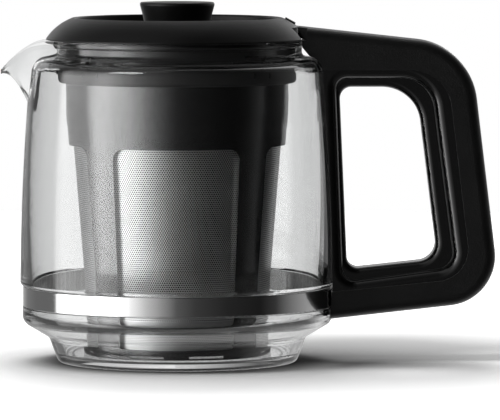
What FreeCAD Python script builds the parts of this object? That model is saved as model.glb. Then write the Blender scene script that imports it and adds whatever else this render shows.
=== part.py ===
import FreeCAD, Part
import math
import os
import re
import Sketcher
from FreeCAD import Placement, Rotation, Vector

# Glass tea jug with a lift-out infusing basket and a twist-lock lid.
# Millimetres. Origin on the jug's axis at the surface it stands on, +Z up,
# the spout towards -X and the handle towards +X.

SIZES = {
    "whole": {
        "jug_diameter": 152.0, "whole_height": 174.15,
    },
    "glass jug": {
        "glass_wall": 2.6, "floor_top": 4.0, "floor_thickness": 2.8,
        "foot_ring_width": 6.1, "foot_ring_slope": 1.2,
        "foot_inset": 18.4, "foot_round": 3.0,
        "ankle_inset": 13.8, "ankle_height": 12.2, "ankle_round": 4.0,
        "heel_inset": 1.1, "heel_height": 19.8, "heel_round": 5.0,
        "belly_round": 2.0,
        "waist_inset": 0.6, "waist_height": 88.6, "waist_blend": 0.87,
        "shoulder_inset": 5.3, "shoulder_drop": 9.5, "shoulder_round": 6.5,
        "neck_inset": 18.0, "neck_wall": 2.2, "neck_height": 7.2, "neck_round": 2.0,
        "rim_overhang": 1.7, "rim_depth": 3.0, "rim_round": 1.1,
        "lip_round": 0.3, "groove_depth": 1.5, "groove_fillet": 60.0,
    },
    "spout": {
        "spout_root_bite": 2.0, "spout_overhang": 9.0, "spout_lip": 3.6,
        "spout_flare": 0.8, "spout_root_half": 19.0, "spout_tip_half": 6.5,
        "spout_drop": 14.2, "spout_depth": 45.0, "spout_tip_depth": 1.1,
        "spout_wall": 2.2, "spout_taper": 0.74, "spout_bend": 0.5,
        "spout_overrun": 2.0,
    },
    "band": {
        "band_lift": 7.2, "band_height": 10.0, "band_edge": 0.3,
        "strip_thickness": 0.5, "band_thickness": 0.8, "band_round": 0.25,
        "bracket_width": 12.0, "bracket_sheet": 2.0, "bracket_length": 20.0,
        "bracket_lift": 1.2, "bracket_foot": 6.0,
    },
    "handle": {
        "handle_reach": 80.0, "handle_width": 30.0, "handle_wall": 2.6,
        "handle_gap": 0.15, "crown_inset": 14.7, "crown_drop": 2.5,
        "crown_round": 32.0, "crown_slope": 0.11, "elbow_rise": 3.6,
        "elbow_round": 24.0, "elbow_slope": 0.113, "shell_round": 5.0,
        "shell_overlap": 6.0, "shell_bite": 7.0, "nose_wall_bite": 7.5,
        "nose_half_angle": 9.6, "nose_overlap": 4.5, "nose_clearance": 0.5,
        "nose_sweep": 60.0,
        "seam_top_inset": 26.0, "seam_top_drop": 14.0, "seam_top_round": 20.0,
        "seam_low_inset": 14.1, "seam_low_rise": 14.5, "seam_low_round": 15.5,
        "seam_slope": 0.1, "liner_inset": 0.8, "liner_round": 4.4,
        "step_top": 4.0, "step_grip": 8.2, "step_low": 5.2, "step_post": 1.9,
        "step_round": 8.0, "spine_width": 19.0, "spine_round": 3.2,
        "post_top_thickness": 2.2, "post_low_thickness": 6.0, "hole_top_drop": 22.3,
        "hole_top_inset": 40.7, "hole_low_inset": 30.4, "hole_post_rise": 18.2,
        "hole_grip_rise": 23.0, "hole_small_round": 5.5, "hole_crown_round": 19.0,
        "hole_elbow_round": 9.0,
    },
    "handle fasteners": {
        "grip_screw_rise": 45.0, "grip_screw_drop": 43.5, "screw_radius": 1.5,
        "screw_head_radius": 2.8, "screw_head_depth": 1.8, "screw_seat_depth": 4.0,
        "screw_grip_length": 8.0, "screw_clearance": 0.15, "screw_way_depth": 13.0,
        "thread_margin": 0.5, "boss_radius": 4.0, "boss_length": 11.3,
        "clamp_offset": 12.0, "clamp_boss_length": 4.4, "nut_radius": 3.6,
        "nut_depth": 2.4, "hex_drive": 1.3, "hex_depth": 1.0,
    },
    "basket": {
        "basket_clearance": 0.4, "basket_wall": 2.2,
        "basket_foot_inset": 30.6, "basket_mid_inset": 28.5, "basket_mid": 42.0,
        "basket_mid_round": 500.0, "basket_top_gap": 4.3, "basket_flare_drop": 32.9,
        "basket_flare_round": 60.0, "collar_drop": 20.4,
        "window_top_drop": 50.5, "post_top_half": 7.77, "post_low_half": 5.6,
        "window_round": 5.0, "window_low_round": 3.0, "window_count": 4.0,
        "ledge_rise": 2.0, "ledge_height": 0.8, "ledge_width": 4.2,
        "rib_width": 2.0, "rib_height": 1.6, "mesh_thickness": 0.4,
        "mesh_gap": 0.1, "mesh_overlap": 7.0, "base_ring_height": 1.4,
        "drain_height": 1.2, "drain_inner": 6.0, "drain_outer": 22.0,
    },
    "collar and bayonet": {
        "collar_clearance": 0.5, "collar_wall": 2.6, "collar_height": 8.8,
        "collar_round": 0.5, "collar_foot_round": 1.8, "flange_depth": 2.0,
        "catch_count": 4.0, "catch_start": 45.0, "catch_width": 9.0,
        "catch_thickness": 1.4, "catch_slit": 0.9, "catch_slit_rise": 3.4,
        "catch_slit_height": 4.3,
        "lug_width": 4.2, "lug_height": 1.5, "lug_reach": 1.9, "lock_angle": 8.0,
        "slot_leg_width": 5.0, "slot_run_height": 2.1, "slot_drop": 5.8,
    },
    "lid": {
        "lid_gap": 0.3, "skirt_clearance": 1.0, "skirt_wall": 2.0, "skirt_drop": 11.3,
        "skirt_upper_wall": 3.4, "skirt_step_rise": 0.6, "skirt_flange": 1.4,
        "skirt_flange_width": 7.7, "lid_overhang": 1.4, "dome_edge": 0.6,
        "dome_inset": 4.64, "dome_rise": 7.5, "dome_round": 26.0,
        "crest_inset": 13.8, "crest_rise": 11.3, "crest_round": 1.2,
        "recess_inset": 16.4, "recess_rise": 0.9, "recess_round": 3.0,
        "lid_wall": 1.9, "lip_height": 1.4, "lip_width": 7.8,
        "notch_clearance": 0.6, "notch_wall": 1.9, "notch_gap": 1.4, "notch_rise": 6.0,
        "seal_depth": 1.4, "seal_height": 2.3, "seal_drop": 3.55,
        "seal_gap": 0.25, "seal_lip": 0.55,
        "plate_wall": 1.2, "plate_gap": 0.2, "hub_radius": 8.0,
        "lid_screw_inset": 5.7, "lid_screw_count": 3.0, "lid_screw_start": 90.0,
        "lid_screw_length": 5.5, "lid_screw_radius": 1.1, "lid_screw_head": 1.9,
        "lid_screw_head_depth": 1.3, "lid_boss_radius": 2.3, "lid_boss_height": 6.4,
    },
    "knob and marker": {
        "knob_rise": 18.3, "knob_radius": 18.0, "knob_crown": 0.35, "knob_round": 0.9,
        "knob_rim": 1.4, "knob_neck_radius": 16.4, "knob_neck_drop": 7.3,
        "knob_neck_round": 24.0, "knob_foot_radius": 14.4, "knob_core": 5.0,
        "knob_wall": 2.2, "knob_roof_thickness": 2.8, "knob_screw_radius": 2.0,
        "knob_screw_length": 16.0, "knob_screw_head": 4.0, "knob_screw_head_depth": 1.4,
        "marker_inset": 8.8, "marker_rise": 9.3, "marker_length": 5.4,
        "marker_width": 8.0, "marker_proud": 0.5, "marker_sunk": 0.7,
        "marker_slope": 29.0,
    },
    "making": {
        "cut_margin": 1.0, "pick_margin": 0.01, "round_share": 0.94,
    },
}

# Radii and heights that follow from the sizes above. Any expression may use their names.
PLACES = {
    # radii of the jug, from its widest part
    "belly_radius": "jug_diameter / 2",
    "heel_radius": "belly_radius - heel_inset",
    "ankle_radius": "belly_radius - ankle_inset",
    "foot_radius": "belly_radius - foot_inset",
    "foot_ring_radius": "foot_radius - foot_ring_width",
    "groove_radius": "heel_radius - groove_depth",
    "waist_radius": "belly_radius - waist_inset",
    "shoulder_radius": "belly_radius - shoulder_inset",
    "neck_bore": "belly_radius - neck_inset",
    "rim_radius": "neck_bore + neck_wall + rim_overhang",
    "spout_root": "neck_bore - spout_root_bite",
    "spout_reach": "belly_radius + spout_overhang",
    # heights of the jug, from the floor below the band and from the rim above it
    "rim_height": "whole_height - knob_crown - knob_rise",
    "band_bottom": "heel_height + band_lift",
    "band_top": "band_bottom + band_height",
    "shoulder_height": "rim_height - shoulder_drop",
    "neck_foot": "rim_height - neck_height",
    "waist_run": "min(waist_height - band_top; shoulder_height - waist_height)",
    "waist_bend": "(shoulder_inset - waist_inset) / (shoulder_height - waist_height)"
                  " - waist_inset / (waist_height - band_top)",
    "waist_round": "2 * waist_blend * waist_run / waist_bend",
    # band, bracket and handle
    "strip_radius": "groove_radius + strip_thickness",
    "band_radius": "strip_radius + band_thickness",
    "bracket_bottom": "band_bottom + bracket_lift",
    "bracket_reach": "belly_radius + bracket_length",
    "clamp_x": "belly_radius + clamp_offset",
    "clamp_head_bottom": "bracket_bottom - clamp_boss_length",
    "elbow_x": "belly_radius + handle_reach",
    "elbow_z": "band_bottom + elbow_rise",
    "crown_x": "elbow_x - crown_inset",
    "crown_z": "rim_height - crown_drop",
    "shell_start": "neck_bore - shell_overlap",
    "shell_foot": "belly_radius - shell_bite",
    "nose_wall": "belly_radius - nose_wall_bite",
    "nose_front": "lid_radius - nose_overlap",
    "seam_top_x": "elbow_x - seam_top_inset",
    "seam_top_z": "rim_height - seam_top_drop",
    "seam_low_x": "elbow_x - seam_low_inset",
    "seam_low_z": "band_bottom + seam_low_rise",
    "shell_head": "crown_z + crown_slope * (crown_x - shell_start)",
    "shell_low": "elbow_z - elbow_slope * (elbow_x - shell_foot)",
    "seam_foot": "seam_low_z - seam_slope * (seam_low_x - shell_foot)",
    "step_rise": "handle_width / 2 - liner_inset - spine_width / 2",
    "spine_face": "hole_top_drop - seam_top_drop - step_top",
    "hole_left_top": "belly_radius + post_top_thickness",
    "hole_left_low": "belly_radius + post_low_thickness",
    "hole_right_top": "elbow_x - hole_top_inset",
    "hole_right_low": "elbow_x - hole_low_inset",
    "hole_top": "rim_height - hole_top_drop",
    "hole_low_left": "band_bottom + hole_post_rise",
    "hole_low_right": "band_bottom + hole_grip_rise",
    "grip_screw_low": "band_bottom + grip_screw_rise",
    "grip_screw_high": "rim_height - grip_screw_drop",
    # basket and collar
    "basket_foot_radius": "belly_radius - basket_foot_inset",
    "basket_mid_radius": "belly_radius - basket_mid_inset",
    "basket_top_radius": "neck_bore - basket_top_gap",
    "basket_flare": "rim_height - basket_flare_drop",
    "basket_bottom": "floor_top + basket_clearance",
    "ledge_bottom": "basket_bottom + ledge_rise",
    "ledge_top": "ledge_bottom + ledge_height",
    "ring_bottom": "ledge_top + mesh_thickness",
    "ring_top": "ring_bottom + base_ring_height",
    "window_top": "rim_height - window_top_drop",
    "window_top_half": "basket_top_radius * sin(180 / window_count) - post_top_half",
    "window_low_half": "basket_foot_radius * sin(180 / window_count) - post_low_half",
    "mesh_top": "window_top + mesh_overlap",
    "collar_bottom": "rim_height - collar_drop",
    "collar_radius": "neck_bore - collar_clearance",
    "collar_bore": "collar_radius - collar_wall",
    "catch_radius": "skirt_radius - skirt_wall - lid_gap",
    "catch_slit_bottom": "collar_bottom + catch_slit_rise",
    "slot_top": "rim_height - slot_drop",
    # lid, knob and marker
    "skirt_radius": "neck_bore - skirt_clearance",
    "skirt_bottom": "rim_height - skirt_drop",
    "skirt_step": "slot_top + skirt_step_rise",
    "skirt_flange_bore": "skirt_radius - skirt_flange_width",
    "lid_base": "rim_height + lid_gap",
    "lid_radius": "rim_radius + lid_overhang",
    "lid_top": "rim_height + crest_rise",
    "dome_radius": "lid_radius - dome_inset",
    "dome_height": "rim_height + dome_rise",
    "crest_radius": "lid_radius - crest_inset",
    "recess_radius": "lid_radius - recess_inset",
    "recess_floor": "rim_height + recess_rise",
    "lip_bore": "lid_radius - lip_width",
    "notch_radius": "nose_front - notch_clearance",
    "notch_top": "rim_height + notch_rise",
    "seal_bottom": "rim_height - seal_drop",
    "plate_bottom": "skirt_step + lid_gap",
    "lid_screw_circle": "skirt_radius - lid_screw_inset",
    "knob_top": "rim_height + knob_rise",
    "knob_neck": "knob_top - knob_neck_drop",
    "knob_roof": "knob_top - knob_roof_thickness",
    "marker_centre": "lid_radius - marker_inset",
    "marker_height": "rim_height + marker_rise",
}


doc = FreeCAD.newDocument("TeaJug")
sheet = doc.addObject("Spreadsheet::Sheet", "dims")
row = 0
for title, entries in SIZES.items():
    row += 1
    sheet.set("A%d" % row, title)
    for alias, size in entries.items():
        row += 1
        sheet.set("A%d" % row, alias)
        sheet.set("B%d" % row, str(size))
        sheet.setAlias("B%d" % row, alias)
doc.recompute()


def named(expression):
    """The same expression with places written out and every size read from the sheet."""
    def spell(match):
        word = match.group()
        return "(%s)" % named(PLACES[word]) if word in PLACES else "dims." + word
    return re.sub(r"\b[a-z][a-z_]+\b(?!\()", spell, str(expression))


def num(expression):
    """An expression of the sheet's sizes as a plain number."""
    return float(sheet.evalExpression(named(expression)))


def bind(item, prop, expression):
    item.setExpression(prop, named(expression))


def new_body(label):
    body = doc.addObject("PartDesign::Body", label)
    body.Label = label
    return body


def new_sketch(body, name, role, offset=None):
    """A sketch on one of the body's own origin planes, moved along its normal."""
    sketch = body.newObject("Sketcher::SketchObject", name)
    plane = next(f for f in body.Origin.OriginFeatures if f.Role == role)
    sketch.AttachmentSupport = [(plane, "")]
    sketch.MapMode = "FlatFace"
    if offset is not None:
        bind(sketch, "AttachmentOffset.Base.z", offset)
    return sketch


def bound(sketch, constraint, expression):
    index = sketch.addConstraint(constraint)
    bind(sketch, "Constraints[%d]" % index, expression)


def pin(sketch, geo, pos, x, y):
    """Hold a point at (x, y) from the sketch's origin."""
    for kind, axis, expression in (("DistanceX", -2, x), ("DistanceY", -1, y)):
        size = num(expression)
        if abs(size) < 1e-9:
            sketch.addConstraint(Sketcher.Constraint("PointOnObject", geo, pos, axis))
        elif size > 0:
            bound(sketch, Sketcher.Constraint(kind, -1, 1, geo, pos, size), expression)
        else:
            flipped = "-(%s)" % expression
            bound(sketch, Sketcher.Constraint(kind, geo, pos, -1, 1, -size), flipped)


def draw_circle(sketch, x, y, radius):
    circle = Part.Circle(Vector(num(x), num(y), 0), Vector(0, 0, 1), num(radius))
    geo = sketch.addGeometry(circle, False)
    pin(sketch, geo, 3, x, y)
    bound(sketch, Sketcher.Constraint("Radius", geo, num(radius)), radius)


def draw_outline(sketch, corners):
    """A closed outline of straight runs through (x, y[, round]) corners."""
    spots = [Vector(num(c[0]), num(c[1]), 0) for c in corners]
    rounds = [num(c[2]) if len(c) > 2 else 0.0 for c in corners]
    count = len(corners)
    ways = [(spots[(i + 1) % count] - spots[i]).normalize() for i in range(count)]
    turns = [ways[i - 1].getAngle(ways[i]) for i in range(count)]
    trims = [rounds[i] * math.tan(turns[i] / 2) for i in range(count)]
    lines = []
    for i in range(count):
        j = (i + 1) % count
        start = spots[i] + ways[i] * trims[i]
        end = spots[j] - ways[i] * trims[j]
        lines.append(sketch.addGeometry(Part.LineSegment(start, end), False))
    for i, corner in enumerate(corners):
        before, after = lines[i - 1], lines[i]
        if not rounds[i]:
            sketch.addConstraint(Sketcher.Constraint("Coincident", before, 2, after, 1))
            pin(sketch, after, 1, corner[0], corner[1])
            continue
        left = ways[i - 1].cross(ways[i]).z > 0
        side = Vector(-ways[i].y, ways[i].x, 0) * (1 if left else -1)
        centre = spots[i] + ways[i] * trims[i] + side * rounds[i]
        first = spots[i] - ways[i - 1] * trims[i] - centre
        last = spots[i] + ways[i] * trims[i] - centre
        if not left:
            first, last = last, first
        angles = [math.atan2(v.y, v.x) for v in (first, last)]
        circle = Part.Circle(centre, Vector(0, 0, 1), rounds[i])
        arc = sketch.addGeometry(Part.ArcOfCircle(circle, *angles), False)
        apex = sketch.addGeometry(Part.Point(spots[i]), True)
        pin(sketch, apex, 1, corner[0], corner[1])
        enter, leave = (1, 2) if left else (2, 1)
        sketch.addConstraint([
            Sketcher.Constraint("PointOnObject", apex, 1, before),
            Sketcher.Constraint("PointOnObject", apex, 1, after),
            Sketcher.Constraint("Tangent", before, 2, arc, enter),
            Sketcher.Constraint("Tangent", arc, leave, after, 1)])
        bound(sketch, Sketcher.Constraint("Radius", arc, rounds[i]), corner[2])


def spin_sketch(sketch, turn):
    """Turn a sketch of the XZ plane about the vertical axis, in degrees."""
    sketch.AttachmentOffset = Placement(Vector(), Rotation(Vector(0, 1, 0), num(turn)))
    bind(sketch, "AttachmentOffset.Rotation.Angle", turn)


def turned(body, kind, name, corners, sweep="360", turn=None):
    """Revolution or Groove of an upright outline about the vertical axis.

    A sweep of less than a full turn lies evenly about the direction given by turn.
    """
    sketch = new_sketch(body, name + "_sketch", "XZ_Plane")
    if turn is not None:
        spin_sketch(sketch, turn)
    draw_outline(sketch, corners)
    feature = body.newObject("PartDesign::" + kind, name)
    feature.Profile = sketch
    feature.ReferenceAxis = (sketch, ["V_Axis"])
    bind(feature, "Angle", sweep)
    feature.Midplane = turn is not None
    doc.recompute()
    return feature


def arc_degrees(width, radius):
    """The turn in plain degrees across a chord of this width at a radius."""
    return "(asin((%s) / 2 / (%s)) / asin(1) * 180)" % (width, radius)


def box_outline(left, low, right, high):
    return [(left, low), (right, low), (right, high), (left, high)]


def extruded(body, kind, name, role, corners, length, offset=None, both=False, flip=False):
    """Pad or Pocket of an outline; both spreads the length evenly about the sketch."""
    sketch = new_sketch(body, name + "_sketch", role, offset)
    draw_outline(sketch, corners)
    return extrude(body, kind, name, sketch, length, both, flip)


def extrude(body, kind, name, sketch, length, both=False, flip=False):
    feature = body.newObject("PartDesign::" + kind, name)
    feature.Profile = sketch
    bind(feature, "Length", length)
    if both:
        feature.Midplane = True
    feature.Reversed = flip
    doc.recompute()
    return feature


def hole(body, name, x, y, radius, top, bottom):
    """A vertical round hole between two heights."""
    sketch = new_sketch(body, name + "_sketch", "XY_Plane", top)
    draw_circle(sketch, x, y, radius)
    return extrude(body, "Pocket", name, sketch, "(%s) - (%s)" % (top, bottom))


def around(body, feature, count):
    """Repeat a feature evenly about the vertical axis."""
    pattern = body.newObject("PartDesign::PolarPattern", feature.Name + "_set")
    pattern.Originals = [feature]
    axis = next(f for f in body.Origin.OriginFeatures if f.Role == "Z_Axis")
    pattern.Axis = (axis, [""])
    pattern.Angle = 360
    bind(pattern, "Occurrences", count)
    body.Tip = pattern
    doc.recompute()
    return pattern


def rounded_edges(body, name, pick, radius):
    """Fillet the edges of the body's tip that pick chooses."""
    base = body.Tip
    edges = ["Edge%d" % (i + 1) for i, e in enumerate(base.Shape.Edges) if pick(e)]
    fillet = body.newObject("PartDesign::Fillet", name)
    fillet.Base = (base, edges)
    bind(fillet, "Radius", radius)
    doc.recompute()
    return fillet


# ---------------------------------------------------------------- glass jug

def jug_side(gap):
    """The jug's outer side from the heel to the shoulder, moved out by a gap."""
    return [
        ("heel_radius + %s" % gap, "heel_height", "heel_round"),
        ("belly_radius + %s" % gap, "band_bottom + band_height", "belly_round"),
        ("waist_radius + %s" % gap, "waist_height", "waist_round"),
        ("shoulder_radius + %s" % gap, "shoulder_height + %s" % gap, "shoulder_round"),
    ]


# Sections of the spout from the neck to the tip: share of its reach, share of its
# drop, and how wide and how deep it still is there and how tall its lip.
SPOUT_SECTIONS = [
    (0.0, 0.0, 1.00, 1.00, 1.0),
    (0.34, 0.03, 0.80, 0.84, 1.0),
    (0.59, 0.25, 0.58, 0.43, 1.0),
    (0.80, 0.57, 0.37, 0.126, 0.9),
    (1.00, 1.00, 0.00, 0.00, 0.25),
]


def spout_outline(drop, width, depth, lip, channel):
    """One U-shaped section of the spout's outside, or of the channel within it."""
    top = "(rim_height - %g * spout_drop)" % drop
    half = "(spout_tip_half + %g * (spout_root_half - spout_tip_half))" % width
    edge = "(%s - %g * spout_lip)" % (top, lip)
    low = "(%s - spout_tip_depth - %g * spout_depth)" % (edge, depth)
    side = "(%s - spout_flare)" % half
    foot = "(%s * spout_taper)" % side
    if channel:
        half, side, foot = ["(%s - spout_wall)" % reach for reach in (half, side, foot)]
        low = "(%s + spout_wall)" % low
        edge = "(%s + spout_wall)" % edge
        top = "(%s + 2 * spout_drop)" % top
    bend = "%s * spout_bend" % foot
    return [
        ("-%s" % half, top), ("-%s" % side, edge), ("-%s" % foot, low, bend),
        (foot, low, bend), (side, edge), (half, top),
    ]


def spout_loft(body, kind, name, channel):
    overrun = "spout_overrun" if channel else "0"
    sections = []
    for share, *shape in SPOUT_SECTIONS:
        reach = "-(spout_root + %g * (spout_reach + %s - spout_root))" % (share, overrun)
        sketch = new_sketch(body, "%s_%02d" % (name, share * 10), "YZ_Plane", reach)
        draw_outline(sketch, spout_outline(*shape, channel))
        sections.append(sketch)
    loft = body.newObject("PartDesign::" + kind, name)
    loft.Profile = sections[0]
    loft.Sections = sections[1:]
    doc.recompute()
    return loft


def build_glass_jug():
    """A blown glass jug with a beaked spout and a groove for the band."""
    body = new_body("glass_jug")
    neck = "neck_bore + neck_wall"
    punt = "floor_top - floor_thickness"
    heel, belly, waist, shoulder = jug_side("0")
    blown = [
        ("0", punt), ("foot_ring_radius - foot_ring_slope", punt), ("foot_ring_radius", "0"),
        ("foot_radius", "0", "foot_round"),
        ("ankle_radius", "ankle_height", "ankle_round"),
        heel,
        ("heel_radius", "band_bottom", "lip_round"),
        ("groove_radius", "band_bottom"),
        ("groove_radius", "band_bottom + band_height"),
        belly, waist, shoulder,
        (neck, "neck_foot", "neck_round"),
        (neck, "rim_height - rim_depth", "lip_round"),
        ("rim_radius", "rim_height - rim_depth", "rim_round"),
        ("rim_radius", "rim_height", "rim_round"),
        ("0", "rim_height"),
    ]
    turned(body, "Revolution", "blown_form", blown)
    spout_loft(body, "AdditiveLoft", "spout_form", False)
    inside = "groove_radius - glass_wall"
    cavity = [
        ("0", "floor_top"),
        ("foot_radius - glass_wall", "floor_top", "foot_round"),
        ("ankle_radius - glass_wall", "ankle_height + glass_wall", "ankle_round"),
        (inside, "heel_height + glass_wall", "heel_round"),
        (inside, "band_bottom + band_height", "groove_fillet"),
        ("waist_radius - glass_wall", "waist_height", "waist_round / 2"),
        ("shoulder_radius - glass_wall", "shoulder_height - glass_wall",
         "shoulder_round - glass_wall"),
        ("neck_bore", "neck_foot - glass_wall", "neck_round"),
        ("neck_bore", "rim_height - rim_round"),
        ("neck_bore + rim_round", "rim_height"),
        ("neck_bore + rim_round", "rim_height + rim_depth"),
        ("0", "rim_height + rim_depth"),
    ]
    turned(body, "Groove", "cavity", cavity)
    spout_loft(body, "SubtractiveLoft", "spout_channel", True)
    return body


# --------------------------------------------------------------------- band

def build_ring(label, inner, outer, low, high, rounding=None):
    body = new_body(label)
    corners = box_outline(inner, low, outer, high)
    if rounding:
        corners[1] += (rounding,)
        corners[2] += (rounding,)
    turned(body, "Revolution", label + "_ring", corners)
    return body


def build_band_strip():
    return build_ring("band_strip", "groove_radius", "strip_radius",
                      "band_bottom + band_edge", "band_bottom + band_height - band_edge")


def build_steel_band():
    return build_ring("steel_band", "strip_radius", "band_radius", "band_bottom + band_edge",
                      "band_bottom + band_height - band_edge", "band_round")


def build_band_bracket():
    """The angle welded to the band: its foot lies on the band, its tongue in the handle."""
    body = new_body("band_bracket")
    tongue_top = "bracket_bottom + bracket_sheet"
    angle = [
        ("groove_radius", "bracket_bottom"), ("bracket_reach", "bracket_bottom"),
        ("bracket_reach", tongue_top),
        ("band_radius + bracket_sheet", tongue_top),
        ("band_radius + bracket_sheet", "bracket_bottom + bracket_foot"),
        ("groove_radius", "bracket_bottom + bracket_foot"),
    ]
    extruded(body, "Pad", "angle", "XZ_Plane", angle, "bracket_width", both=True)
    seat = box_outline("0", "bracket_bottom - cut_margin", "band_radius",
                       "bracket_bottom + bracket_foot + cut_margin")
    turned(body, "Groove", "seat", seat)
    hole(body, "clamp_hole", "clamp_x", "0", "screw_radius + screw_clearance",
         "bracket_bottom + bracket_sheet + cut_margin", "0")
    return body


# ------------------------------------------------------------------- handle

GRIP_LEAN = "atan((seam_low_x - seam_top_x) / (seam_top_z - seam_low_z))"
GRIP_TILT = "atan((seam_top_z - seam_low_z) / (seam_low_x - seam_top_x))"


def seam_x(height):
    """Where the seam between shell and liner lies on the grip at a height."""
    share = "(seam_top_z - (%s)) / (seam_top_z - seam_low_z)" % height
    return "seam_top_x + (seam_low_x - seam_top_x) * %s" % share


def clear_jug(body):
    """Cut away what the glass, the lid and their clearances need."""
    rim = "rim_radius + handle_gap"
    corners = [
        ("0", "ankle_height"), ("ankle_radius", "ankle_height"),
    ] + jug_side("handle_gap") + [
        ("neck_bore + 2 * neck_wall + rim_depth", "neck_foot"),
        (rim, "rim_height - rim_depth"),
        (rim, "lid_base"),
        ("nose_front", "dome_height - lip_height"),
        ("nose_front", "lid_top + rim_depth"),
        ("0", "lid_top + rim_depth"),
    ]
    turned(body, "Groove", "jug_clearance", corners)


def grip_sketch(body, name, height, depth):
    """A sketch on the grip's seam at a height, moved outwards by a depth."""
    sketch = new_sketch(body, name, "YZ_Plane")
    lean = "-(%s)" % GRIP_LEAN
    sketch.AttachmentOffset = Placement(Vector(), Rotation(Vector(1, 0, 0), num(lean)))
    bind(sketch, "AttachmentOffset.Rotation.Angle", lean)
    across = "cos(%s)" % GRIP_LEAN
    up = "sin(%s)" % GRIP_LEAN
    bind(sketch, "AttachmentOffset.Base.y", "%s + (%s) * %s" % (height, depth, up))
    bind(sketch, "AttachmentOffset.Base.z",
         "%s + (%s) * %s" % (seam_x(height), depth, across))
    return sketch


def grip_round(body, kind, name, height, depth, radius, length, flip=False):
    """A round boss or hole square to the grip, starting at a depth from the seam."""
    sketch = grip_sketch(body, name + "_sketch", height, depth)
    draw_circle(sketch, "0", "0", radius)
    return extrude(body, kind, name, sketch, length, flip=flip)


def build_handle_shell():
    """The outer moulding: a channel with the seam side open, bosses and a hooked nose."""
    body = new_body("handle_shell")
    outline = [
        ("shell_start", "shell_head"), ("shell_start", "seam_top_z"),
        ("seam_top_x", "seam_top_z", "seam_top_round"),
        ("seam_low_x", "seam_low_z", "seam_low_round"),
        ("shell_foot", "seam_foot"), ("shell_foot", "shell_low"),
        ("elbow_x", "elbow_z", "elbow_round"), ("crown_x", "crown_z", "crown_round"),
    ]
    extruded(body, "Pad", "outer", "XZ_Plane", outline, "handle_width", both=True)

    def on_back(edge):
        middle = edge.CenterOfMass
        side = abs(abs(middle.y) - num("handle_width / 2")) < num("pick_margin")
        beyond = (middle.z > num("(seam_top_z + crown_z) / 2")
                  or middle.x > num("(seam_low_x + elbow_x) / 2")
                  or middle.z < num("(seam_foot + elbow_z) / 2"))
        return side and beyond and edge.BoundBox.XLength > num("cut_margin")
    rounded_edges(body, "soft_back", on_back, "shell_round")
    hollow = [
        ("nose_wall", "shell_head - handle_wall - crown_slope * (nose_wall - shell_start)"),
        ("nose_wall", "seam_top_z - cut_margin"),
        ("seam_top_x - cut_margin", "seam_top_z - cut_margin", "seam_top_round"),
        ("seam_low_x - cut_margin", "seam_low_z + cut_margin", "seam_low_round"),
        ("shell_foot - cut_margin", "seam_foot + cut_margin"),
        ("shell_foot - cut_margin", "shell_low + handle_wall"),
        ("elbow_x - handle_wall", "elbow_z + handle_wall", "elbow_round - handle_wall"),
        ("crown_x - handle_wall", "crown_z - handle_wall", "crown_round - handle_wall"),
    ]
    extruded(body, "Pocket", "hollow", "XZ_Plane", hollow,
             "handle_width - 2 * handle_wall", both=True)
    for name, height in (("low", "grip_screw_low"), ("high", "grip_screw_high")):
        grip_round(body, "Pad", "boss_" + name, height, "0", "boss_radius", "boss_length")
        grip_round(body, "Pocket", "thread_" + name, height,
                   "screw_grip_length + thread_margin", "screw_radius",
                   "screw_grip_length + thread_margin + cut_margin")
    foot = new_sketch(body, "clamp_boss_sketch", "XY_Plane", "bracket_bottom")
    draw_circle(foot, "clamp_x", "0", "boss_radius")
    extrude(body, "Pad", "clamp_boss", foot, "bracket_bottom - clamp_head_bottom", flip=True)
    hole(body, "clamp_thread", "clamp_x", "0", "screw_radius + screw_clearance",
         "bracket_bottom + cut_margin", "0")
    hole(body, "clamp_sink", "clamp_x", "0", "screw_head_radius + screw_clearance",
         "clamp_head_bottom + screw_head_depth", "0")
    clear_jug(body)
    beside = box_outline("notch_radius - notch_wall", "lid_base",
                         "lid_radius + nose_clearance", "lid_top + rim_depth")
    for name, side in (("near", "-"), ("far", "")):
        turned(body, "Groove", "nose_" + name, beside, "nose_sweep",
               "%s(nose_half_angle + nose_sweep / 2)" % side)
    return body


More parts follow.
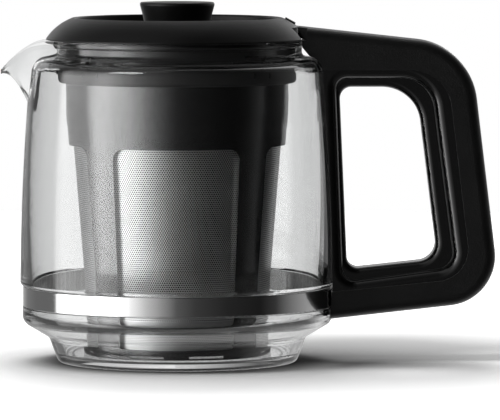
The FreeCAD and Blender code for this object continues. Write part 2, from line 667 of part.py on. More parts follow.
def build_handle_liner():
    """The inner moulding: a wide step on the shell and a narrower spine round the opening."""
    body = new_body("handle_liner")
    outer = [
        ("shell_foot", "seam_top_z"), ("shell_foot", "seam_foot"),
        ("seam_low_x", "seam_low_z", "seam_low_round"),
        ("seam_top_x", "seam_top_z", "seam_top_round"),
    ]
    step = [
        ("hole_left_top - step_post", "seam_top_z - step_top", "hole_small_round"),
        ("hole_left_low - step_post", "seam_foot + step_low", "hole_small_round"),
        ("seam_low_x - step_grip", "seam_low_z + step_low", "step_round"),
        ("seam_top_x - step_grip", "seam_top_z - step_top", "seam_top_round - step_top"),
    ]
    opening = [
        ("hole_left_top", "hole_top", "hole_small_round"),
        ("hole_left_low", "hole_low_left", "hole_small_round"),
        ("hole_right_low", "hole_low_right", "hole_elbow_round"),
        ("hole_right_top", "hole_top", "hole_crown_round"),
    ]
    wide = "handle_width - 2 * liner_inset"
    for name, inner, width in (("wide_step", step, wide), ("spine", opening, "spine_width")):
        sketch = new_sketch(body, name + "_sketch", "XZ_Plane")
        draw_outline(sketch, outer)
        draw_outline(sketch, inner)
        extrude(body, "Pad", name, sketch, width, both=True)

    def edges_round(inner, width):
        across = [num(c[0]) for c in inner]
        up = [num(c[1]) for c in inner]
        half = num(width) / 2
        near = num("pick_margin")

        def pick(edge):
            box = edge.BoundBox
            flat = box.YLength < near and abs(abs(box.Center.y) - half) < near
            return (flat and box.XMin > min(across) - near and box.XMax < max(across) + near
                    and box.ZMin > min(up) - near and box.ZMax < max(up) + near)
        return pick
    rounded_edges(body, "soft_step", edges_round(step, wide),
                  "min(liner_round; round_share * step_rise)")
    rounded_edges(body, "soft_spine", edges_round(opening, "spine_width"),
                  "min(spine_round; round_share * spine_face)")
    for name, height in (("low", "grip_screw_low"), ("high", "grip_screw_high")):
        grip_round(body, "Pocket", "way_" + name, height, "cut_margin",
                   "screw_radius + screw_clearance", "screw_way_depth")
        grip_round(body, "Pocket", "sink_" + name, height, "-screw_seat_depth",
                   "screw_head_radius + screw_clearance", "screw_way_depth")
    clear_jug(body)
    return body


# ------------------------------------------------------------------- screws

def screw(name, head_radius, head_depth, shaft_radius, shaft_length):
    """A round-headed screw with a hex socket, its head's seat at z = 0, shaft upwards."""
    shaft = doc.addObject("Part::Cylinder", name + "_shaft")
    bind(shaft, "Radius", shaft_radius)
    bind(shaft, "Height", shaft_length)
    head = doc.addObject("Part::Cylinder", name + "_head")
    bind(head, "Radius", head_radius)
    bind(head, "Height", head_depth)
    bind(head, "Placement.Base.z", "-(%s)" % head_depth)
    whole = doc.addObject("Part::Fuse", name + "_blank")
    whole.Base, whole.Tool = shaft, head
    socket = doc.addObject("Part::Prism", name + "_socket")
    socket.Polygon = 6
    bind(socket, "Circumradius", "hex_drive")
    bind(socket, "Height", "hex_depth")
    bind(socket, "Placement.Base.z", "-(%s)" % head_depth)
    cut = doc.addObject("Part::Cut", name)
    cut.Base, cut.Tool = whole, socket
    return cut


def placed(item, x, y, z, lean=None):
    """Stand an item at a point, its axis leaning from upright towards +X."""
    if lean is not None:
        item.Placement = Placement(Vector(), Rotation(Vector(0, 1, 0), num(lean)))
        bind(item, "Placement.Rotation.Angle", lean)
    for axis, expression in (("x", x), ("y", y), ("z", z)):
        bind(item, "Placement.Base." + axis, expression)
    return item


def group(label, items):
    compound = doc.addObject("Part::Compound", label)
    compound.Label = label
    compound.Links = items
    return compound


def build_band_screw():
    item = screw("band_screw", "screw_head_radius", "screw_head_depth", "screw_radius",
                 "bracket_bottom + bracket_sheet + nut_depth + thread_margin"
                 " - clamp_head_bottom - screw_head_depth")
    item.Label = "band_screw"
    return placed(item, "clamp_x", "0", "clamp_head_bottom + screw_head_depth")


def build_band_nut():
    prism = doc.addObject("Part::Prism", "nut_blank")
    prism.Polygon = 6
    bind(prism, "Circumradius", "nut_radius")
    bind(prism, "Height", "nut_depth")
    bore = doc.addObject("Part::Cylinder", "nut_bore")
    bind(bore, "Radius", "screw_radius")
    bind(bore, "Height", "nut_depth")
    nut = doc.addObject("Part::Cut", "band_nut")
    nut.Base, nut.Tool = prism, bore
    nut.Label = "band_nut"
    return placed(nut, "clamp_x", "0", "bracket_bottom + bracket_sheet")


def build_handle_screws():
    items = []
    for name, height in (("low", "grip_screw_low"), ("high", "grip_screw_high")):
        item = screw("handle_screw_" + name, "screw_head_radius", "screw_head_depth",
                     "screw_radius", "screw_seat_depth + screw_grip_length")
        items.append(placed(
            item, "%s - screw_seat_depth * cos(%s)" % (seam_x(height), GRIP_LEAN), "0",
            "%s - screw_seat_depth * sin(%s)" % (height, GRIP_LEAN), GRIP_TILT))
    return group("handle_screws", items)


# ------------------------------------------------------------------- basket

def basket_radius(height, inset):
    """The basket frame's outer radius at a height below its middle, less an inset."""
    share = "((%s) - basket_bottom) / (basket_mid - basket_bottom)" % height
    return ("basket_foot_radius + (basket_mid_radius - basket_foot_radius) * %s - (%s)"
            % (share, inset))


def basket_side(inset, low):
    """The frame's side from a low height to its top, moved inwards by an inset."""
    return [
        (basket_radius(low, inset), low),
        ("basket_mid_radius - (%s)" % inset, "basket_mid", "basket_mid_round"),
        ("basket_top_radius - (%s)" % inset, "basket_flare", "basket_flare_round"),
        ("basket_top_radius - (%s)" % inset, "collar_bottom"),
    ]


def build_basket_frame():
    """A tapered tube with four tall windows, a ledge for the floor and drain slits."""
    body = new_body("basket_frame")
    wall = basket_side("0", "basket_bottom")
    inside = basket_side("basket_wall", "ledge_top")
    ledge_bore = basket_radius("ledge_bottom", "ledge_width + basket_wall")
    profile = wall + inside[::-1] + [
        (ledge_bore, "ledge_top"), (ledge_bore, "ledge_bottom"),
        (basket_radius("ledge_bottom", "basket_wall"), "ledge_bottom"),
        (basket_radius("basket_bottom", "basket_wall"), "basket_bottom"),
    ]
    turned(body, "Revolution", "tube", profile)
    window = [
        ("-window_low_half", "ring_top", "window_low_round"),
        ("window_low_half", "ring_top", "window_low_round"),
        ("window_top_half", "window_top", "window_round"),
        ("-window_top_half", "window_top", "window_round"),
    ]
    pane = extruded(body, "Pocket", "window", "XZ_Plane", window, "2 * basket_top_radius")
    around(body, pane, "window_count")
    drains = new_sketch(body, "drain_sketch", "XZ_Plane")
    for left, right in (("drain_inner", "drain_outer"), ("-drain_outer", "-drain_inner")):
        draw_outline(drains, box_outline(left, "ledge_bottom - drain_height", right,
                                         "ledge_bottom"))
    drain = extrude(body, "Pocket", "drain", drains, "2 * basket_top_radius")
    around(body, drain, "window_count")
    rib = box_outline("-(%s)" % basket_radius("ledge_bottom", "basket_wall / 2"),
                      "-rib_width / 2", basket_radius("ledge_bottom", "basket_wall / 2"),
                      "rib_width / 2")
    bar = extruded(body, "Pad", "rib", "XY_Plane", rib, "rib_height",
                   "ledge_top - rib_height")
    around(body, bar, "window_count")
    return body


def build_mesh_sleeve():
    body = new_body("mesh_sleeve")
    outer = "basket_wall + mesh_gap"
    inner = "basket_wall + mesh_gap + mesh_thickness"
    rise = "(basket_top_radius - basket_mid_radius) / (basket_flare - basket_mid)"
    top = "basket_mid_radius + %s * (mesh_top - basket_mid) - (%%s)" % rise
    turned(body, "Revolution", "sleeve", [
        (basket_radius("ring_top", inner), "ring_top"),
        (basket_radius("ring_top", outer), "ring_top"),
        ("basket_mid_radius - (%s)" % outer, "basket_mid", "basket_mid_round"),
        (top % outer, "mesh_top"), (top % inner, "mesh_top"),
        ("basket_mid_radius - (%s)" % inner, "basket_mid", "basket_mid_round"),
    ])
    return body


def build_floor_mesh():
    body = new_body("floor_mesh")
    disc = new_sketch(body, "disc_sketch", "XY_Plane", "ledge_top")
    draw_circle(disc, "0", "0", basket_radius("ledge_top", "basket_wall + mesh_gap"))
    extrude(body, "Pad", "disc", disc, "mesh_thickness")
    return body


def build_base_ring():
    """The ring that clamps the floor mesh down on the frame's ledge."""
    return build_ring("base_ring", basket_radius("ledge_bottom", "ledge_width + basket_wall"),
                      basket_radius("ring_bottom", "basket_wall + mesh_gap"),
                      "ring_bottom", "ring_top")


# ------------------------------------------------------- collar and bayonet

def build_basket_collar():
    """A ring on the basket with four sprung catches, each with a lug for the lid."""
    body = new_body("basket_collar")
    flange_top = "collar_bottom + flange_depth"
    collar_top = "collar_bottom + collar_height"
    turned(body, "Revolution", "ring", [
        ("basket_top_radius - basket_wall", "collar_bottom"),
        ("collar_radius", "collar_bottom", "collar_foot_round"),
        ("collar_radius", collar_top, "collar_round"),
        ("collar_bore", collar_top), ("collar_bore", flange_top),
        ("basket_top_radius - basket_wall", flange_top),
    ])
    catch_inner = "catch_radius - catch_thickness"
    catch = turned(body, "Revolution", "catch",
                   box_outline(catch_inner, "collar_bottom + flange_depth / 2",
                               "catch_radius",
                               "slot_top"),
                   arc_degrees("catch_width", "collar_radius"), "catch_start")
    around(body, catch, "catch_count")
    bridge = turned(body, "Revolution", "catch_foot",
                    box_outline(catch_inner, "collar_bottom + flange_depth / 2",
                                "collar_bore + collar_round",
                                "catch_slit_bottom + catch_slit_height"),
                    arc_degrees("catch_width", "collar_radius"), "catch_start")
    around(body, bridge, "catch_count")
    lug = turned(body, "Revolution", "lug",
                 box_outline("catch_radius - catch_thickness / 2",
                             "slot_top - lid_gap - lug_height",
                             "catch_radius + lug_reach", "slot_top - lid_gap"),
                 arc_degrees("lug_width", "collar_radius"), "catch_start")
    around(body, lug, "catch_count")
    slit = box_outline("collar_bore - collar_wall", "catch_slit_bottom",
                       "collar_radius + collar_wall",
                       "catch_slit_bottom + catch_slit_height")
    aside = arc_degrees("catch_width / 2 + catch_slit / 2", "collar_radius")
    for name, sign in (("left", "-"), ("right", "+")):
        cut = turned(body, "Groove", "slit_" + name, slit,
                     arc_degrees("catch_slit", "collar_radius"),
                     "catch_start %s %s" % (sign, aside))
        around(body, cut, "catch_count")
    return body


def build_lid_skirt():
    """The lid's tube in the jug's neck, with the seal's groove and L-shaped slots."""
    body = new_body("lid_skirt")
    groove_floor = "skirt_radius - seal_depth"
    groove_low = "seal_bottom - lid_gap"
    groove_high = "seal_bottom + seal_height + lid_gap"
    upper = "skirt_radius - skirt_upper_wall"
    turned(body, "Revolution", "tube", [
        ("skirt_radius - skirt_wall", "skirt_bottom"), ("skirt_radius", "skirt_bottom"),
        ("skirt_radius", groove_low), (groove_floor, groove_low),
        (groove_floor, groove_high), ("skirt_radius", groove_high),
        ("skirt_radius", "lid_base"), ("skirt_flange_bore", "lid_base"),
        ("skirt_flange_bore", "lid_base - skirt_flange"),
        (upper, "lid_base - skirt_flange"), (upper, "skirt_step"),
        ("skirt_radius - skirt_wall", "skirt_step"),
    ])
    leg = box_outline("skirt_radius - 2 * skirt_wall", "skirt_bottom - cut_margin",
                      "skirt_radius + skirt_wall", "slot_top")
    entry = turned(body, "Groove", "slot_leg", leg,
                   arc_degrees("slot_leg_width", "skirt_radius"), "catch_start")
    around(body, entry, "catch_count")
    run = box_outline("skirt_radius - 2 * skirt_wall", "slot_top - slot_run_height",
                      "skirt_radius + skirt_wall", "slot_top")
    sweep = "%s + lock_angle" % arc_degrees("slot_leg_width", "skirt_radius")
    track = turned(body, "Groove", "slot_run", run, sweep, "catch_start - lock_angle / 2")
    around(body, track, "catch_count")
    for index in range(int(num("lid_screw_count"))):
        x, y = screw_spot(index)
        hole(body, "screw_way_%d" % index, x, y, "lid_screw_radius + screw_clearance",
             "lid_base + cut_margin", "lid_base - skirt_flange - cut_margin")
    return body


def screw_spot(index):
    """Where one of the lid's screws stands on its circle."""
    turn = "(lid_screw_start + %d * 360 / lid_screw_count)" % index
    return "lid_screw_circle * cos(%s)" % turn, "lid_screw_circle * sin(%s)" % turn


# ---------------------------------------------------------------------- lid

def build_lid_seal():
    """A silicone ring with two lips, held in the skirt's groove."""
    body = new_body("lid_seal")
    inner = "skirt_radius - seal_depth + lid_gap"
    outer = "neck_bore - seal_gap"
    waist = "%s - seal_lip" % outer
    turned(body, "Revolution", "ring", [
        (inner, "seal_bottom"), (waist, "seal_bottom"),
        (outer, "seal_bottom + seal_height / 5"), (waist, "seal_bottom + seal_height / 2"),
        (outer, "seal_bottom + seal_height * 4 / 5"), (waist, "seal_bottom + seal_height"),
        (inner, "seal_bottom + seal_height"),
    ])
    return body


def marker_sketch(body, name, rise):
    """A rectangle on the dome's slope beside the handle, raised by a distance."""
    sketch = new_sketch(body, name, "XY_Plane")
    lean = "marker_slope"
    sketch.AttachmentOffset = Placement(Vector(), Rotation(Vector(0, 1, 0), num(lean)))
    bind(sketch, "AttachmentOffset.Rotation.Angle", lean)
    bind(sketch, "AttachmentOffset.Base.x", "marker_centre + (%s) * sin(%s)" % (rise, lean))
    bind(sketch, "AttachmentOffset.Base.z", "marker_height + (%s) * cos(%s)" % (rise, lean))
    draw_outline(sketch, box_outline("-marker_length / 2", "-marker_width / 2",
                                     "marker_length / 2", "marker_width / 2"))
    return sketch


def build_lid_cover():
    """The domed cover: a dished recess for the knob and a notch for the handle's nose."""
    body = new_body("lid_cover")
    bore = "knob_screw_radius + screw_clearance"
    turned(body, "Revolution", "shell", [
        (bore, "recess_floor - lid_wall"),
        ("recess_radius + lid_wall", "recess_floor - lid_wall"),
        ("crest_radius + lid_wall / 2", "lid_top - 2 * lid_wall"),
        ("dome_radius - lid_wall", "dome_height - lid_wall", "dome_round / 2"),
        ("lid_radius - lid_wall", "lid_base + lip_height"),
        ("lip_bore", "lid_base + lip_height"), ("lip_bore", "lid_base"), ("lid_radius", "lid_base"),
        ("lid_radius", "lid_base + dome_edge"),
        ("dome_radius", "dome_height", "dome_round"),
        ("crest_radius", "lid_top", "crest_round"),
        ("recess_radius", "recess_floor", "recess_round"),
        (bore, "recess_floor"),
    ])
    nose_sweep = "2 * nose_half_angle + lock_angle + 2 * notch_gap"
    turned(body, "Revolution", "notch_wall",
           box_outline("notch_radius - notch_wall", "lid_base", "notch_radius", "notch_top"),
           "%s + 2 * notch_gap" % nose_sweep, "-lock_angle / 2")
    turned(body, "Groove", "notch",
           box_outline("notch_radius", "lid_base - cut_margin", "lid_radius + cut_margin", "lid_top"),
           nose_sweep, "-lock_angle / 2")
    for index in range(int(num("lid_screw_count"))):
        x, y = screw_spot(index)
        boss = new_sketch(body, "boss_sketch_%d" % index, "XY_Plane", "lid_base")
        draw_circle(boss, x, y, "lid_boss_radius")
        extrude(body, "Pad", "boss_%d" % index, boss, "lid_boss_height")
        hole(body, "boss_hole_%d" % index, x, y, "lid_screw_radius",
             "lid_base + lid_screw_length", "lid_base - cut_margin")
    seat = marker_sketch(body, "marker_seat_sketch", "marker_proud")
    extrude(body, "Pocket", "marker_seat", seat, "marker_proud + marker_sunk")
    return body


def build_lock_marker():
    body = new_body("lock_marker")
    face = marker_sketch(body, "tab_sketch", "-marker_sunk")
    extrude(body, "Pad", "tab", face, "marker_proud + marker_sunk")
    return body


def build_lid_plate():
    """The plate that closes the lid from below, with a hub up to the recess's floor."""
    body = new_body("lid_plate")
    bore = "knob_screw_radius + screw_clearance"
    top = "plate_bottom + plate_wall"
    rim = "skirt_radius - skirt_upper_wall - plate_gap"
    turned(body, "Revolution", "plate", [
        (bore, "plate_bottom"), (rim, "plate_bottom", "collar_round"), (rim, top),
        ("hub_radius", top), ("hub_radius", "recess_floor - lid_wall"),
        (bore, "recess_floor - lid_wall"),
    ])
    return body


def build_knob():
    body = new_body("knob")
    thread_top = "plate_bottom + knob_screw_length + cut_margin"
    turned(body, "Revolution", "form", [
        ("knob_screw_radius", "recess_floor"), ("knob_core", "recess_floor"),
        ("knob_core", "knob_roof", "knob_round"),
        ("knob_neck_radius - knob_wall", "knob_roof", "knob_wall"),
        ("knob_foot_radius - knob_wall", "recess_floor"),
        ("knob_foot_radius", "recess_floor"),
        ("knob_neck_radius", "knob_neck", "knob_neck_round"),
        ("knob_radius", "knob_top - knob_rim"),
        ("knob_radius", "knob_top", "knob_round"),
        ("0", "knob_top + knob_crown"), ("0", thread_top), ("knob_screw_radius", thread_top),
    ])
    return body


def build_knob_screw():
    item = screw("knob_screw", "knob_screw_head", "knob_screw_head_depth",
                 "knob_screw_radius", "knob_screw_length")
    item.Label = "knob_screw"
    return placed(item, "0", "0", "plate_bottom")


def build_lid_screws():
    items = []
    for index in range(int(num("lid_screw_count"))):
        x, y = screw_spot(index)
        item = screw("lid_screw_%d" % index, "lid_screw_head", "lid_screw_head_depth",
                     "lid_screw_radius", "skirt_flange + lid_screw_length - thread_margin")
        items.append(placed(item, x, y, "lid_base - skirt_flange"))
    return group("lid_screws", items)


# ---------------------------------------------------------- check and write

NODES = [build() for build in (
    build_glass_jug, build_band_strip, build_steel_band, build_band_bracket,
    build_handle_shell, build_handle_liner, build_band_screw, build_band_nut,
    build_handle_screws, build_basket_frame, build_mesh_sleeve, build_floor_mesh,
    build_base_ring, build_basket_collar, build_lid_seal, build_lid_cover, build_lid_skirt,
    build_lid_plate, build_lid_screws, build_lock_marker, build_knob, build_knob_screw)]

doc.recompute()
for item in doc.Objects:
    if "Invalid" in item.State or "Error" in item.State:
        raise RuntimeError("%s failed: %s" % (item.Name, item.State))
os.makedirs("parts", exist_ok=True)
for node in NODES:
    if node.Shape.isNull() or not node.Shape.isValid():
        raise RuntimeError("%s has no valid shape" % node.Label)
    node.Shape.exportStep("parts/%s.step" % node.Label)
    print("%-16s %2d solids %9.1f mm3" % (node.Label, len(node.Shape.Solids), node.Shape.Volume))
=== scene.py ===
"""Looks for the glass tea jug: materials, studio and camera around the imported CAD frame."""
import math

import bpy
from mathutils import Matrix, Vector

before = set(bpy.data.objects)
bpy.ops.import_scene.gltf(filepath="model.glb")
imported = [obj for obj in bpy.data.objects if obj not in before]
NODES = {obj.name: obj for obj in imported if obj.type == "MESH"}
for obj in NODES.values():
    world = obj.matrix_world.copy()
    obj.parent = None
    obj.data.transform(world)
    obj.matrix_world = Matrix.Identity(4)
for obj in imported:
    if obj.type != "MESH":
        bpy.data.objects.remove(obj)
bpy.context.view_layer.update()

MM = 0.001


# ------------------------------------------------------------ node helpers

# Most of a noise lies between these two values.
NOISE_LOW = 0.3
NOISE_HIGH = 0.7


class Graph:
    """Short spellings for building a node tree."""

    def __init__(self, tree):
        self.tree = tree
        tree.nodes.clear()

    def add(self, kind, inputs=None, **props):
        """A new node. Each of its inputs gets a value, or a link where a socket is given."""
        node = self.tree.nodes.new("ShaderNode" + kind)
        for key, value in props.items():
            setattr(node, key, value)
        for key, value in (inputs or {}).items():
            socket = node.inputs[key]
            if isinstance(value, bpy.types.NodeSocket):
                self.tree.links.new(value, socket)
            else:
                socket.default_value = value
        return node

    def math(self, operation, a, b=0.0):
        return self.add("Math", {0: a, 1: b}, operation=operation).outputs[0]

    def range(self, value, low, high, to_low=0.0, to_high=1.0, smooth=False):
        """A value that runs from low to high, mapped to another run and held at its ends."""
        return self.add("MapRange", {"Value": value, "From Min": low, "From Max": high,
                                     "To Min": to_low, "To Max": to_high},
                        interpolation_type="SMOOTHSTEP" if smooth else "LINEAR").outputs[0]

    def ramp(self, value, stops):
        """A level read off straight lines between stops: each a place and the level there."""
        node = self.add("ValToRGB", {"Fac": value})
        elements = node.color_ramp.elements
        while len(elements) < len(stops):
            elements.new(0.5)
        for element, (place, level) in zip(elements, stops):
            element.position = place
            element.color = (level, level, level, 1)
        return node.outputs["Color"]

    def noise(self, scale, detail, vector=None):
        """Noise over the object, or over another vector."""
        if vector is None:
            vector = self.add("TexCoord").outputs["Object"]
        return self.add("TexNoise", {"Scale": scale, "Detail": detail,
                                     "Vector": vector}).outputs["Fac"]

    def spread(self, noise, low=0.0, high=1.0):
        """A noise stretched so that it runs from low to high."""
        return self.range(noise, NOISE_LOW, NOISE_HIGH, low, high)

    def bump(self, height, strength, distance):
        return self.add("Bump", {"Height": height, "Strength": strength,
                                 "Distance": distance}).outputs["Normal"]

    def blend(self, share, a, b):
        """A number between two others."""
        return self.add("Mix", {"Factor": share, "A": a, "B": b}).outputs["Result"]

    def tint(self, share, a, b):
        """A colour between two others, each a socket or red, green and blue."""
        ends = {key: (*end, 1) if isinstance(end, tuple) else end
                for key, end in (("A", a), ("B", b))}
        return self.add("Mix", {"Factor": share, **ends}, data_type="RGBA").outputs["Result"]

    def either(self, share, a, b):
        """A shader between two others."""
        return self.add("MixShader", {0: share, 1: a, 2: b}).outputs[0]


def grey(level):
    """A neutral colour."""
    return (level, level, level)


def darker(colour, share):
    return tuple(channel * share for channel in colour)


def new_graph(name):
    """A new material and the graph of its nodes."""
    made = bpy.data.materials.new(name)
    made.use_nodes = True
    return made, Graph(made.node_tree)


# --------------------------------------------------------------- materials

SHEEN_ROUGHNESS = 0.3
# How far a polished face's roughness strays below and above its middle.
POLISH_FINER = 0.02
POLISH_COARSER = 0.03

# A "swing" is how far a roughness strays either way.
GRAIN_SWING = 0.06
GRAIN_HEIGHT = 0.2 * MM
MARKS_SCALE = 60.0
MARKS_LOW = 0.35
MARKS_HIGH = 0.65
MARKS_SWING = 0.03


def textured_plastic(name, dark, light, rough, grain, depth, specular, sheen=0.0):
    """Black moulded plastic with a fine spark-eroded grain and faint handling marks."""
    made, g = new_graph(name)
    fine = g.noise(grain, 2.0)
    marks = g.noise(MARKS_SCALE, 3.0)
    worn = g.math("ADD", g.spread(fine, rough - GRAIN_SWING, rough + GRAIN_SWING),
                  g.spread(marks, -MARKS_SWING, MARKS_SWING))
    surface = g.add("BsdfPrincipled", {
        "Base Color": g.tint(g.range(marks, MARKS_LOW, MARKS_HIGH), dark, light),
        "Roughness": worn, "Specular IOR Level": specular,
        "Sheen Weight": sheen, "Sheen Roughness": SHEEN_ROUGHNESS,
        "Normal": g.bump(fine, depth, GRAIN_HEIGHT)})
    g.add("OutputMaterial", {"Surface": surface.outputs[0]})
    return made


MOULD_WAVE_SCALE = 35.0
MOULD_WAVE_DEPTH = 0.04
MOULD_WAVE_HEIGHT = 0.6 * MM
GLOSS_GRAIN_SCALE = 500.0


def gloss_plastic(name, dark, light, rough, ior, specular, sheen=0.0):
    """Polished black plastic with the slight waviness of a moulded face."""
    made, g = new_graph(name)
    wave = g.noise(MOULD_WAVE_SCALE, 1.0)
    fine = g.noise(GLOSS_GRAIN_SCALE, 2.0)
    surface = g.add("BsdfPrincipled", {
        "Base Color": g.tint(g.spread(wave), dark, light),
        "Roughness": g.spread(fine, rough - POLISH_FINER, rough + POLISH_COARSER),
        "IOR": ior, "Specular IOR Level": specular,
        "Sheen Weight": sheen, "Sheen Roughness": SHEEN_ROUGHNESS,
        "Normal": g.bump(wave, MOULD_WAVE_DEPTH, MOULD_WAVE_HEIGHT)})
    g.add("OutputMaterial", {"Surface": surface.outputs[0]})
    return made


# Stretches a noise into lines that run round the jug's axis.
LINE_SCALE = (8.0, 8.0, 1500.0)
LINE_HEIGHT = 0.1 * MM
STEEL_PATCH_SCALE = 40.0
STEEL_PATCH_SHADE = 0.96
STEEL_PATCH_ROUGHER = 0.02


def steel(name, tone, rough, streak):
    """Stainless steel, polished or with fine lines round the jug's axis."""
    made, g = new_graph(name)
    place = g.add("TexCoord").outputs["Object"]
    squeezed = g.add("Mapping", {"Vector": place, "Scale": LINE_SCALE}).outputs[0]
    lines = g.noise(1.0, 3.0, squeezed)
    patch = g.noise(STEEL_PATCH_SCALE, 2.0)
    roughness = g.math("ADD", g.spread(lines, rough - POLISH_FINER, rough + POLISH_COARSER),
                       g.spread(patch, 0.0, STEEL_PATCH_ROUGHER))
    surface = g.add("BsdfPrincipled", {
        "Base Color": g.tint(g.spread(patch), darker(tone, STEEL_PATCH_SHADE), tone),
        "Metallic": 1.0, "Roughness": roughness,
        "Normal": g.bump(lines, streak, LINE_HEIGHT)})
    g.add("OutputMaterial", {"Surface": surface.outputs[0]})
    return made


RUBBER_GRAIN_SCALE = 700.0
RUBBER_GRAIN_SHADE = 0.8
RUBBER_GRAIN_DEPTH = 0.1
RUBBER_GRAIN_HEIGHT = 0.2 * MM
RUBBER_SWING = 0.05


def rubber(name, tone, rough):
    """Silicone rubber with a soft, fine grain."""
    made, g = new_graph(name)
    fine = g.noise(RUBBER_GRAIN_SCALE, 3.0)
    surface = g.add("BsdfPrincipled", {
        "Base Color": g.tint(g.spread(fine), darker(tone, RUBBER_GRAIN_SHADE), tone),
        "Roughness": g.spread(fine, rough - RUBBER_SWING, rough + RUBBER_SWING),
        "Normal": g.bump(fine, RUBBER_GRAIN_DEPTH, RUBBER_GRAIN_HEIGHT)})
    g.add("OutputMaterial", {"Surface": surface.outputs[0]})
    return made


GLASS_DARK = (0.85, 0.855, 0.855)
GLASS_LIGHT = (0.87, 0.873, 0.873)
GLASS_IOR = 1.47
GLASS_WAVE_SCALE = 14.0
GLASS_WAVE_DEPTH = 0.02
GLASS_WAVE_HEIGHT = 1.0 * MM
GLASS_SHADOW = (0.8, 0.8, 0.8, 1)


def glass(name):
    """Clear blown glass. Shadow and diffuse rays pass straight through it, a little dimmed."""
    made, g = new_graph(name)
    wave = g.noise(GLASS_WAVE_SCALE, 1.0)
    body = g.add("BsdfPrincipled", {
        "Base Color": g.tint(g.spread(wave), GLASS_DARK, GLASS_LIGHT),
        "Roughness": 0.0, "IOR": GLASS_IOR, "Transmission Weight": 1.0,
        "Normal": g.bump(wave, GLASS_WAVE_DEPTH, GLASS_WAVE_HEIGHT)})
    clear = g.add("BsdfTransparent", {"Color": GLASS_SHADOW})
    rays = g.add("LightPath").outputs
    passes = g.math("MAXIMUM", rays["Is Shadow Ray"], rays["Is Diffuse Ray"])
    g.add("OutputMaterial", {"Surface": g.either(passes, body.outputs[0], clear.outputs[0])})
    return made


HOLE_PITCH = 1.12 * MM
HOLE_RADIUS = 0.36 * MM
# The sleeve tapers. At this radius its holes are as wide as they are tall.
SLEEVE_RADIUS = 47.0 * MM
# Every second row is shifted by half a pitch, and two rows take this many pitches.
ROW_PAIR = math.sqrt(3)
# In pitches: how far a hole's edge fades each way, and how far the sheet dips round it.
HOLE_FADE = 0.04
DIMPLE_WIDTH = 0.16
# The strength and height of that dip.
DIMPLE_DEPTH = 0.12
DIMPLE_HEIGHT = 0.2 * MM
# Dims what shows through a hole, so that the holes read dark against the sheet: painted shade.
HOLE_PAINTED_SHADE = (0.25, 0.25, 0.25, 1)
SHEET_PATCH_SCALE = 50.0
SHEET_PATCH_SHADE = 0.94
SHEET_SMOOTH = 0.36
SHEET_ROUGH = 0.4


def hole_distance(g, across, along):
    """How far a place is from the nearest hole's middle, all in pitches."""
    nearest = None
    for shift in (0.0, 0.5):
        u = g.math("SUBTRACT", g.math("FRACT", g.math("ADD", across, shift)), 0.5)
        rows = g.math("ADD", g.math("DIVIDE", along, ROW_PAIR), shift)
        v = g.math("MULTIPLY", g.math("SUBTRACT", g.math("FRACT", rows), 0.5), ROW_PAIR)
        reach = g.math("SQRT", g.math("ADD", g.math("MULTIPLY", u, u), g.math("MULTIPLY", v, v)))
        nearest = reach if nearest is None else g.math("MINIMUM", nearest, reach)
    return nearest


def perforated(name, around_axis, tone):
    """Bright steel sheet, rolled round the axis or flat, with staggered small round holes."""
    made, g = new_graph(name)
    place = g.add("TexCoord").outputs["Object"]
    axes = g.add("SeparateXYZ", {0: place}).outputs
    if around_axis:
        turn = g.math("ARCTAN2", axes["Y"], axes["X"])
        across = g.math("MULTIPLY", turn, SLEEVE_RADIUS / HOLE_PITCH)
        along = g.math("DIVIDE", axes["Z"], HOLE_PITCH)
    else:
        across = g.math("DIVIDE", axes["X"], HOLE_PITCH)
        along = g.math("DIVIDE", axes["Y"], HOLE_PITCH)
    nearest = hole_distance(g, across, along)
    rim = HOLE_RADIUS / HOLE_PITCH
    hole = g.range(nearest, rim - HOLE_FADE, rim + HOLE_FADE, 1.0, 0.0, smooth=True)
    dimple = g.range(nearest, rim, rim + DIMPLE_WIDTH, smooth=True)
    patch = g.noise(SHEET_PATCH_SCALE, 2.0)
    sheet = g.add("BsdfPrincipled", {
        "Base Color": g.tint(g.spread(patch), darker(tone, SHEET_PATCH_SHADE), tone),
        "Metallic": 1.0, "Roughness": g.spread(patch, SHEET_SMOOTH, SHEET_ROUGH),
        "Normal": g.bump(dimple, DIMPLE_DEPTH, DIMPLE_HEIGHT)})
    # The holes show what lies behind, darkened by painted shade.
    shaded_gap = g.add("BsdfTransparent", {"Color": HOLE_PAINTED_SHADE})
    g.add("OutputMaterial", {"Surface": g.either(hole, sheet.outputs[0], shaded_gap.outputs[0])})
    return made


MATTE = textured_plastic("matte_black_plastic", grey(0.004), grey(0.0055), rough=0.36,
                         grain=1500.0, depth=0.5, specular=0.4, sheen=1.0)
LID = textured_plastic("lid_black_plastic", grey(0.002), grey(0.003), rough=0.42,
                       grain=1700.0, depth=0.35, specular=0.3, sheen=0.7)
SATIN = textured_plastic("satin_black_plastic", grey(0.03), grey(0.036), rough=0.55,
                         grain=1200.0, depth=0.2, specular=0.12)
GLOSS = gloss_plastic("gloss_black_plastic", grey(0.001), grey(0.0015), rough=0.14,
                      ior=1.6, specular=0.5, sheen=0.4)
BASKET = gloss_plastic("basket_black_plastic", grey(0.001), grey(0.002), rough=0.18,
                       ior=1.65, specular=1.0)
GLASS = glass("clear_glass")
BAND = steel("polished_steel", grey(0.82), rough=0.07, streak=0.05)
PLAIN_STEEL = steel("screw_steel", (0.62, 0.62, 0.63), rough=0.25, streak=0.1)
SLEEVE = perforated("perforated_sleeve", True, grey(0.95))
FLOOR_MESH = perforated("perforated_floor", False, grey(0.8))
SEAL = rubber("dark_silicone", (0.02, 0.02, 0.021), rough=0.45)
STRIP = rubber("pale_silicone", (0.85, 0.85, 0.84), rough=0.35)

